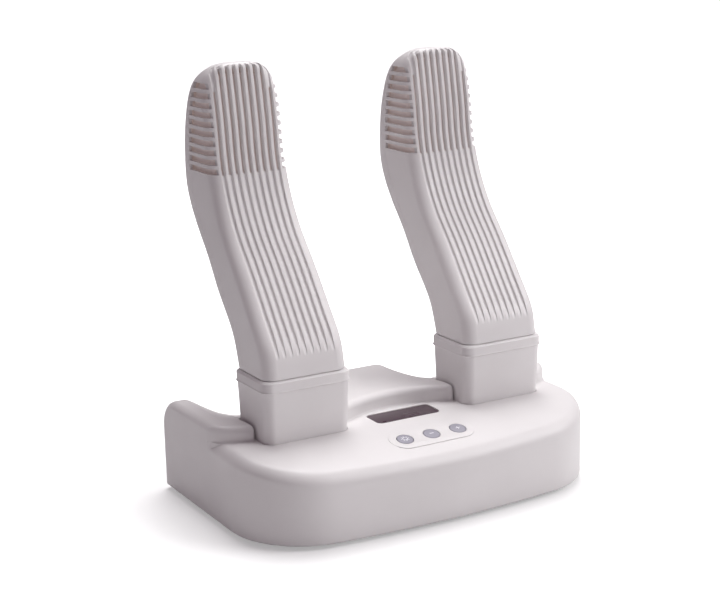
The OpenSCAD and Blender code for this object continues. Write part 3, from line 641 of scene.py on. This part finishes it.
# %% Inlet opening
inlet_x, inlet_z, inlet_w, inlet_h = 85, 18, 24, 14
inlet = block("inlet_hole", inlet_w + 0.4, inlet_h + 0.4, -6, 6, 3)
start(inlet)
inlet.rotation_euler = (math.radians(90), 0, 0)
inlet.location = (inlet_x * MM, half_d * MM, inlet_z * MM)
bpy.ops.object.transform_apply(location=True, rotation=True, scale=True)
cut(housing, inlet)
settle(housing)
smooth(housing, 28)
hand_over(housing, "base", "white_plastic", "upper_housing")

# %% [markdown]
# ## Collars
# A collar is a tapered cup with no floor. Its outside leans out a little from the deck to a proud
# band with a fine bead under it, and the rim's edge has a chamfer. Sections go up the outside,
# over the rim and down the socket, and the last one joins the first, so the cup is one closed
# wall.

# %% Collar
collar_foot, rim_top, rim_band, rim_w, rim_d = 51, 98, 7, 64, 47
socket_w, socket_d, socket_r, mouth_r = 50, 37, 6, 0.6


def collar_rings():
    band, lip = rim_top - rim_band, 0.9
    neck_w, neck_d = rim_w - 2 * lip, rim_d - 2 * lip
    rings = [rounded(collar_w, collar_d, collar_corner, collar_foot)]
    for t in (0, 0.25, 0.5, 0.75, 1):
        rings.append(rounded(mix(collar_w, neck_w, t), mix(collar_d, neck_d, t), collar_corner,
                             mix(deck_h, band - 1.0, t)))
    for grow, rise in ((0.05, -0.75), (0.5, -0.6), (0.8, -0.4), (0.9, -0.1), (0.82, 0.2),
                       (0.5, 0.6), (0.42, 0.8)):
        rings.append(rounded(neck_w + 2 * grow, neck_d + 2 * grow, collar_corner + grow * 0.6,
                             band + rise))
    for grow, rise in ((0.5, 1.5), (0.42, 1.35), (0.12, 1.02), (-0.5, 0.42), (-0.85, 0.1),
                       (-1.0, 0.02)):
        rings.append(rounded(neck_w + 2 * grow, neck_d + 2 * grow, collar_corner + grow * 0.6,
                             rim_top - rise))
    for a in range(0, 91, 30):
        bend = math.radians(a)
        flare = mouth_r * (1 - math.sin(bend))
        rings.append(rounded(socket_w + 2 * flare, socket_d + 2 * flare, socket_r + flare,
                             rim_top - mouth_r * (1 - math.cos(bend))))
    rings.append(rounded(socket_w, socket_d, socket_r, collar_foot))
    return rings


for side, name in ((-1, "left_collar"), (1, "right_collar")):
    collar = skin(name + "_moulding", collar_rings(), around=True)
    settle(collar, side * collar_pitch / 2, collar_y)
    smooth(collar, 40)
    hand_over(collar, "base", "white_plastic", name)

# %% [markdown]
# ## The ribbed pipes
# The pipe is the piece that takes most skill. Two curves give its side profile, one down the
# front and one down the back, and it narrows towards its head, which is rounded off like a
# fingertip. The ribs are part of the skin: each section dips into nine grooves across the front,
# as if a round-nosed cutter had been drawn up it, so the grooves end in points near the foot. In
# the head the grooves are cut through to the hollow, over the front of the top, and ten slots
# run through each side and round its front corner. A seam splits the pipe into two shells.

# %% Pipe profile
front_line = ((0, -22), (18, -17.6), (38, -3.6), (62, 14.4), (84, 32.2), (106, 44), (128, 50.6),
              (150, 53.4), (163, 55.4), (174, 57.3), (185, 59.2))
back_line = ((0, 23), (22, 32), (46, 52), (66, 66.2), (84, 81.4), (98, 91), (112, 96.5),
             (132, 97.3), (148, 95.4), (162, 91.4), (174, 87), (185, 82))
pipe_top, line_top, seam_share = 190, 185, 0.72
front_turn, front_roll = 185, 5.5
back_turn, back_roll = 174, 14
side_turn, foot_half, taper, least_half = 150, 29.8, 0.0125, 4.5


def slope_at(line, k):
    a, b = max(0, k - 1), min(len(line) - 1, k + 1)
    return (line[b][1] - line[a][1]) / (line[b][0] - line[a][0])


def along(line, z):
    k = 0
    while k < len(line) - 2 and z >= line[k + 1][0]:
        k += 1
    h = line[k + 1][0] - line[k][0]
    t = (z - line[k][0]) / h
    m, n = slope_at(line, k) * h, slope_at(line, k + 1) * h
    return (line[k][1] * (2 * t ** 3 - 3 * t * t + 1) + m * (t ** 3 - 2 * t * t + t)
            + line[k + 1][1] * (3 * t * t - 2 * t ** 3) + n * (t ** 3 - t * t))


def front_y(z):
    over = min(1, max(0, z - front_turn) / (pipe_top - front_turn))
    return along(front_line, min(z, line_top)) + front_roll * (1 - math.sqrt(1 - over ** 2))


def back_y(z):
    over = min(1, max(0, z - back_turn) / (pipe_top - back_turn))
    return along(back_line, min(z, line_top)) - back_roll * (1 - (1 - over ** 2.4) ** 0.55)


def half_width(z):
    over = min(1, max(0, z - side_turn) / (pipe_top - side_turn))
    straight = foot_half - taper * min(z, side_turn)
    return max(least_half, straight * (1 - over ** 3.5) ** (1 / 3.5))


def stretch(line_y, z):
    return math.hypot(1, (line_y(z + 1) - line_y(z - 1)) / 2)


def seam_y(z):
    return mix(front_y(min(z, 180)), back_y(min(z, 180)), seam_share)


print("the pipe leans back by", round(back_y(100) - back_y(0), 1), "mm on its way up")

# %% [markdown]
# The cutter's nose is given as pairs: how far off its middle, and how high above its tip. The
# columns of the skin lie at those same distances, so every groove is drawn sharply.

# %% Groove profile
groove_n, groove_pitch, groove_depth = 9, 4.95, 1.5
nose = ((0.8, 0), (1.03, 0.2), (1.16, 0.65), (1.25, 1.1), (1.38, 1.36), (1.6, 1.47), (1.85, 1.5))


def cutter_height(off):
    """Height of the round-nosed cutter's edge above its tip."""
    if off <= nose[0][0]:
        return 0
    for (a, low), (b, high) in zip(nose, nose[1:]):
        if off <= b:
            return mix(low, high, (off - a) / (b - a))
    return groove_depth


def groove(x, depth):
    k = round(x / groove_pitch)
    if abs(k) > groove_n // 2:
        return 0
    return max(0, depth - cutter_height(abs(x - k * groove_pitch)))


offsets = sorted({0} | {side * off for off, _ in nose for side in (-1, 1)})
columns = [k * groove_pitch + off for k in range(-4, 5) for off in offsets]
middle_limit, last_column = 16.7, columns[-1]
print(len(columns), "columns across the ribs, the last at", last_column)

# %% [markdown]
# Every section has the same number of points, so that the skin stays a plain grid. The columns
# keep their places up the pipe, and only where the head closes in are they drawn together.

# %% One pipe section
def front_ring(half, front, rear, r, z, depth=0.0, deepen=1.0):
    r = max(0.3, min(r, (rear - front) / 2 - 0.05, half - 0.5))
    flat = half - r
    limit = min(last_column, half - 0.3)
    inner = min(1.0, limit / (middle_limit + 1.0))

    def place(x):
        a, turned = abs(x), math.copysign(1, x)
        if a <= middle_limit:
            return x * inner
        t = (a - middle_limit) / (last_column - middle_limit)
        return turned * mix(middle_limit * inner, limit, t)

    def bend_y(x):
        over = min(r, max(0, abs(x) - flat))
        return r - math.sqrt(r * r - over * over)

    line = [(place(x), front + bend_y(place(x)) + deepen * groove(x, depth)) for x in columns]
    first = math.degrees(math.asin(min(1, max(0, limit - flat) / r)))
    corner = [(flat + r * math.sin(math.radians(a)), front + r - r * math.cos(math.radians(a)))
              for a in (mix(first, 90, i / 8) for i in range(1, 9))]
    if limit < flat:
        corner[0] = (mix(limit, flat, 0.5), front)
    side = [(half, mix(front + r, rear - r, i / 6)) for i in range(1, 6)]
    rear_corner = arc(flat, rear - r, r, 0, 90, 10)
    across = [(mix(flat, -flat, i / 8), rear) for i in range(1, 8)]
    right_side = corner + side + rear_corner
    left_side = [(-x, y) for x, y in reversed(right_side)]
    return [(x, y, z) for x, y in line + right_side + across + left_side]


print("a section has", len(front_ring(foot_half, front_y(0), back_y(0), 8.5, 0)), "points")

# %% Sections up the pipe
pipe_r, pipe_wall, rib_wall, grille_z = 8.5, 2, 3, 120
spigot_l, spigot_gap, spigot_r = 25, 0.4, 5.6
groove_foot, groove_rise, groove_end, groove_fade = 13.5, 10, 189.6, 2.2


def groove_at(z):
    rise = max(0, min(1, (z - groove_foot) / groove_rise))
    return groove_depth * rise ** 0.75 * ease((groove_end - z) / groove_fade)


def pipe_ring(z, side=0.0, front=0.0, rear=0.0, grooved=True):
    lean = min(3, stretch(front_y, min(z, 187)))
    depth = groove_at(z) if grooved else 0
    return front_ring(half_width(z) - side, front_y(z) + front * lean,
                      back_y(z) - rear * min(3, stretch(back_y, min(z, 187))),
                      pipe_r - side, z, depth, lean)


def spigot_ring(z, inset):
    w, d = socket_w / 2 - spigot_gap - inset, socket_d / 2 - spigot_gap - inset
    return front_ring(w, -d, d, spigot_r - inset, z)


def heights(low, high, step):
    count = round((high - low) / step)
    return [mix(low, high, i / count) for i in range(count + 1)]


top_levels = [181.5, 183, 184.2, 185.2, 186, 186.8, 187.5, 188.1, 188.6, 189, 189.35, 189.6,
              189.8, 189.95]
print("the head closes in over", len(top_levels), "levels")

# %% Pipe shell
def pipe_solid():
    rings = [spigot_ring(-spigot_l, 0.7), spigot_ring(-spigot_l + 0.7, 0), spigot_ring(0.05, 0),
             pipe_ring(0.05, 0.5, 0.5, 0.5), pipe_ring(0.25, 0.15, 0.15, 0.15), pipe_ring(0.7)]
    levels = heights(3, 12, 3) + heights(13, 27, 1.0) + heights(29.5, 180, 2.5) + top_levels
    return skin("pipe_outside", rings + [pipe_ring(z) for z in levels])


def pipe_hollow():
    rings = [spigot_ring(-spigot_l - 1, pipe_wall), spigot_ring(5, pipe_wall)]
    rings += [pipe_ring(z, pipe_wall, rib_wall, pipe_wall, False) for z in heights(5, 180, 4.86)]
    for z in (182, 184, 185.5, 186.5, 187.1, 187.4):
        rings.append([(x * 0.97, y, z) for x, y, _ in
                      pipe_ring(min(189, z + 1.9), pipe_wall, rib_wall * 0.8, pipe_wall, False)])
    # The hollow's faces take the inside material, with its painted shade and painted glow.
    return skin("pipe_inside", rings, material=inside_painted_shade_and_glow)


whole = pipe_solid()
cut(whole, pipe_hollow())
print("pipe shell", faces(whole), "faces")

# %% Front slots
slot_half, slot_out = 0.95, 0.9


def slot_path(top, deep):
    path = []
    for z in heights(grille_z, min(top, 184), 4) + [v for v in top_levels[2:10] if v <= top]:
        lean = (front_y(z + 0.4) - front_y(z - 0.4)) / 0.8
        n = math.hypot(1, lean)
        path.append((front_y(z), z, -1 / n, lean / n, slot_out, deep))
    return path


def bar(path, half, x_at):
    rings = []
    for y, z, ny, nz, out, deep in path:
        rings.append([(x_at + dx, y + ny * reach, z + nz * reach)
                      for dx, reach in ((-half, out), (half, out), (half, -deep), (-half, -deep))])
    return skin("front_slot", rings)


slots = []
for k in range(-4, 5):
    top, deep = (173, rib_wall + 2.6) if abs(k) == 4 else (188.6, rib_wall + 1.2)
    slots.append(bar(slot_path(top, deep), slot_half, k * groove_pitch))
cut(whole, join(slots))
print("front slots cut", faces(whole))

# %% Side slots
side_n, side_pitch, side_h, top_slot, rib_edge = 10, 6, 3.76, 176.07, 23.1


def side_slot(z, side):
    front, rear = front_y(z) - 3, seam_y(z) - 0.8
    return block("side_slot", 20, rear - front, z - side_h / 2, z + side_h / 2, 0.6, 3,
                 x=side * (rib_edge + 10), y=(front + rear) / 2)


cut(whole, join([side_slot(top_slot - i * side_pitch, side)
                 for i in range(side_n) for side in (-1, 1)]))
print("side slots cut", faces(whole))

# %% Rear slots
rear_w, rear_rows = 2.3, ((124, 144), (150, 170))


def rear_slot(k, low, high):
    return block("rear_slot", rear_w, 60, low, high, 1.1, 1, x=k * groove_pitch, y=110)


cut(whole, join([rear_slot(k, low, high) for low, high in rear_rows for k in range(-3, 4)]))
print("all slots cut", faces(whole))

# %% [markdown]
# Two cutters with the seam's line split the pipe. The cuts leave a few points almost on top of
# each other, so each shell is welded, and any small opening left along a cut is filled.

# %% Split at the seam
seam_gap, weld_gap = 0.15, 2e-6


def seam_cutter(ahead):
    far, gap = (-90, -seam_gap / 2) if ahead else (170, seam_gap / 2)
    rings = []
    for z in [-40] + heights(0, 180, 3) + [pipe_top + 10]:
        y = seam_y(min(180, max(0, z))) + gap
        a, b = min(far, y), max(far, y)
        rings.append([(-50, a, z), (50, a, z), (50, b, z), (-50, b, z)])
    return skin("seam", rings)


start(whole)
bpy.ops.object.duplicate()
rear_shell = bpy.context.object
cut(whole, seam_cutter(True), "INTERSECT")
cut(rear_shell, seam_cutter(False), "INTERSECT")
for shell in (whole, rear_shell):
    start(shell)
    bpy.ops.object.mode_set(mode="EDIT")
    bpy.ops.mesh.select_all(action="SELECT")
    bpy.ops.mesh.remove_doubles(threshold=weld_gap)
    bpy.ops.mesh.dissolve_degenerate(threshold=1e-6)
    bpy.ops.mesh.select_all(action="DESELECT")
    bpy.ops.mesh.select_non_manifold(extend=False, use_wire=False, use_multi_face=False,
                                     use_non_contiguous=False, use_verts=False)
    bpy.ops.mesh.fill_holes(sides=0)
    bpy.ops.object.mode_set(mode="OBJECT")
print("front shell", faces(whole), "rear shell", faces(rear_shell))

# %% Left and right pipe
pipe_seat = rim_top + fit_gap
for shell, part in ((whole, "front"), (rear_shell, "rear")):
    smooth(shell, 38)
    start(shell)
    bpy.ops.object.duplicate()
    other = bpy.context.object
    for piece, side, name in ((shell, -1, "left"), (other, 1, "right")):
        piece.name = name + "_pipe_" + part + "_shell"
        settle(piece, side * collar_pitch / 2, collar_y, pipe_seat)
        hand_over(piece, name + "_pipe", "white_plastic", name + "_pipe_" + part)

# %% [markdown]
# ## Air guides in the heads
# Nothing can be seen through a head from front to back: a closed core stands in it and turns the
# warm air outwards, to the slots. It is a smaller skin with the pipe's own lines, set in from
# them on all sides, on a web that joins it to the rear wall.

# %% Air guides
guide_low, guide_high, guide_in, guide_half, guide_r = 116, 182, 4, 24.4, 5
guide_side, guide_rear, web_deep, web_lap = 3.6, 2.5, 12, 1.9


def guide_ring(z, more):
    inset = guide_in + more
    return front_ring(min(guide_half, half_width(z) - guide_side) - more, front_y(z) + inset,
                      back_y(z) - inset - guide_rear, guide_r, z)


def web_ring(z, half=1):
    front, rear = back_y(z) - web_deep, back_y(z) - web_lap
    return [(-half, front, z), (half, front, z), (half, rear, z), (-half, rear, z)]


for side, name in ((-1, "left"), (1, "right")):
    levels = [(guide_low, 2), (guide_low + 0.8, 0.8), (guide_low + 2, 0)]
    levels += [(z, 0) for z in heights(guide_low + 5, guide_high - 6, 5)]
    levels += [(guide_high - 3.5, 0.5), (guide_high - 1.6, 1.5), (guide_high - 0.5, 3),
               (guide_high, 5)]
    # The guide and its web take the inside material, with its painted shade and painted glow.
    guide = skin("guide", [guide_ring(z, more) for z, more in levels], material=inside_painted_shade_and_glow)
    web = skin("web", [web_ring(z) for z in heights(guide_low + 8, guide_high - 24, 5)],
               material=inside_painted_shade_and_glow)
    cut(guide, web, "UNION")
    guide.name = name + "_air_guide"
    settle(guide, side * collar_pitch / 2, collar_y, pipe_seat)
    smooth(guide, 40)
    hand_over(guide, name + "_pipe", "white_plastic")

# %% [markdown]
# ## Window and keys
# The display has a smoked acrylic window that lies almost flush in the deck, with a fine
# chamfer that catches the light. The keys are domed discs on a pill-shaped panel. Each key has
# its own body and carries its sign: a ring with rays, a minus and a plus, all generic.

# %% Window
window_edge, panel_edge = 0.45, 0.15
smoked = finish("smoked_acrylic", (0.075, 0.05, 0.062), (0.095, 0.064, 0.078), 0.3, specular=0.3,
                depth=0.000002, rough_spread=0.04)
window = block("window_pane", window_w, window_d, deck_h - window_sunk - window_t,
               deck_h - window_sunk, 3.6, 10, y=window_y, material=smoked)
select_edges(window, lambda a, b: a.z > deck_h - window_sunk - 0.01
             and b.z > deck_h - window_sunk - 0.01)
bpy.ops.mesh.bevel(offset=window_edge * MM, segments=3, affect="EDGES")
settle(window)
smooth(window, 30)
hand_over(window, "base", "smoked_window", "display_window")

# %% Button panel
panel = block("key_panel", pill_w, 2 * panel_r, panel_proud - panel_t, panel_proud,
              panel_r - 0.01, 28)
for i in (-1, 0, 1):
    cut(panel, key_hole(i, -5, 5))
select_edges(panel, lambda a, b: a.z > panel_proud - 0.01 and b.z > panel_proud - 0.01)
bpy.ops.mesh.bevel(offset=panel_edge * MM, segments=3, affect="EDGES", clamp_overlap=True)
bpy.ops.object.mode_set(mode="OBJECT")
on_deck(panel)
settle(panel)
smooth(panel, 30)
hand_over(panel, "base", "white_plastic", "button_panel")

# %% [markdown]
# A key is turned: a stem that reaches down to its switch, a flange that keeps it under the panel,
# and a cap with a rounded rim and a slightly domed top. The stem ends just above the switch, with
# room for the key's travel, and allows for the panel's tilt.

# %% Key caps
cap_top, cap_edge, cap_dome, stem_r, flange_out, flange_t = 0.35, 0.8, 0.15, 2, 1.3, 1.2
key_travel, key_clear = 0.7, 0.2
tilt = math.radians(button_tilt)
stem_end = (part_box("tact_switches")[1].z / MM + key_travel + key_clear - button_z) / math.cos(
    tilt) + stem_r * math.tan(tilt)


def circle(radius, z, count=72):
    turns = [2 * math.pi * i / count for i in range(count)]
    return [(radius * math.cos(turn), radius * math.sin(turn), z) for turn in turns]


def key_cap():
    r, flange = button_dia / 2, -wall - 0.5
    rings = [circle(1e-4, stem_end), circle(stem_r, stem_end), circle(stem_r, flange - flange_t),
             circle(r + flange_out, flange - flange_t), circle(r + flange_out, flange),
             circle(r, flange)]
    for a in range(0, 91, 10):
        bend = math.radians(a)
        rings.append(circle(r - cap_edge * (1 - math.cos(bend)),
                            cap_top - cap_edge * (1 - math.sin(bend))))
    for t in (0.75, 0.5, 0.25, 1e-5):
        rings.append(circle((r - cap_edge) * t, cap_top + cap_dome * (1 - t * t)))
    return skin("key", rings, material=key_grey)


print("the stems end", round(-stem_end, 2), "mm below the deck")

# %% Key signs
sign_w, sign_t, sign_rise = 3.2, 0.65, 0.2
ring_r, ring_t, ray_at, ray_w, ray_t = 1.55, 0.34, 2.45, 0.9, 0.5


def flat_bar(width, depth, x=0.0, turned=0.0):
    made = block("sign", width, depth, cap_top - sign_rise, cap_top + sign_rise,
                 min(width, depth) / 2.01, 4, x=x, material=icon_white)
    start(made)
    made.rotation_euler = (0, 0, math.radians(turned))
    bpy.ops.object.transform_apply(location=True, rotation=True, scale=True)
    return made


def sign(kind):
    if kind == "minus":
        return [flat_bar(sign_w, sign_t)]
    if kind == "plus":
        return [flat_bar(sign_w, sign_t), flat_bar(sign_w, sign_t, turned=90)]
    start()
    bpy.ops.mesh.primitive_torus_add(major_radius=ring_r * MM, minor_radius=ring_t * MM,
                                     major_segments=40, minor_segments=8,
                                     location=(0, 0, cap_top * MM))
    bpy.ops.object.transform_apply(location=True, rotation=True, scale=True)
    ring = bpy.context.object
    ring.data.materials.append(icon_white)
    rays = [flat_bar(ray_w, ray_t, x=ray_at, turned=45 * i) for i in range(8)]
    return [ring] + rays


print("the bars of the signs stand", sign_rise, "mm proud")

# %% Keys
for i, name in ((-1, "power"), (0, "minus"), (1, "plus")):
    cap = key_cap()
    cap.name = name + "_key_cap"
    mark = join(sign(name))
    mark.name = name + "_key_sign"
    for piece in (cap, mark):
        start(piece)
        piece.location.x = i * button_pitch * MM
        bpy.ops.object.transform_apply(location=True, rotation=True, scale=True)
        on_deck(piece)
        settle(piece)
        smooth(piece, 40)
    hand_over(cap, name + "_key", "button_plastic", "button_" + name)
    hand_over(mark, name + "_key", "button_plastic")

# %% [markdown]
# ## The pieces that stay
# Everything else keeps its CAD shape, and only needs the right finish: the base plate and the
# feet, the boards, the fan, the heater, the duct and the fasteners.

# %% Finishes for the rest
rubber = finish("foot_rubber", (0.018, 0.018, 0.02), (0.03, 0.03, 0.032), 0.75, grain=900,
                depth=0.00006)
black = finish("black_moulding", (0.012, 0.012, 0.014), (0.022, 0.022, 0.025), 0.42)
ivory = finish("heat_plastic", (0.62, 0.56, 0.44), (0.7, 0.65, 0.53), 0.55)
steel = finish("plated_steel", (0.5, 0.5, 0.51), (0.62, 0.62, 0.63), 0.3, patch=160, grain=5000,
               metallic=1.0)
alloy = finish("aluminium", (0.66, 0.66, 0.68), (0.76, 0.76, 0.78), 0.36, patch=90, grain=4000,
               metallic=1.0)
laminate = finish("circuit_laminate", (0.015, 0.10, 0.04), (0.03, 0.16, 0.065), 0.35, patch=260,
                  coat=0.4)
parts_mix = finish("component_mix", (0.45, 0.27, 0.05), (0.08, 0.10, 0.32), 0.4, patch=60)

rest = {
    "base_plate": white_abs, "rubber_feet": rubber, "case_screws": steel, "collar_screws": steel,
    "display_module": black, "control_board": laminate, "tact_switches": black,
    "board_screws": steel, "fan_frame": black, "fan_motor": steel, "impeller": black,
    "fan_screws": steel, "heater_frame": ivory, "heater_bars": alloy, "heater_fins": alloy,
    "air_manifold": ivory, "thermal_cutout": steel, "power_board": laminate,
    "power_components": parts_mix, "power_inlet": black, "inlet_pins": steel,
}
for node, material in rest.items():
    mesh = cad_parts[node].data
    mesh.materials.clear()
    mesh.materials.append(material)
print(len(rest), "CAD pieces keep their shape")
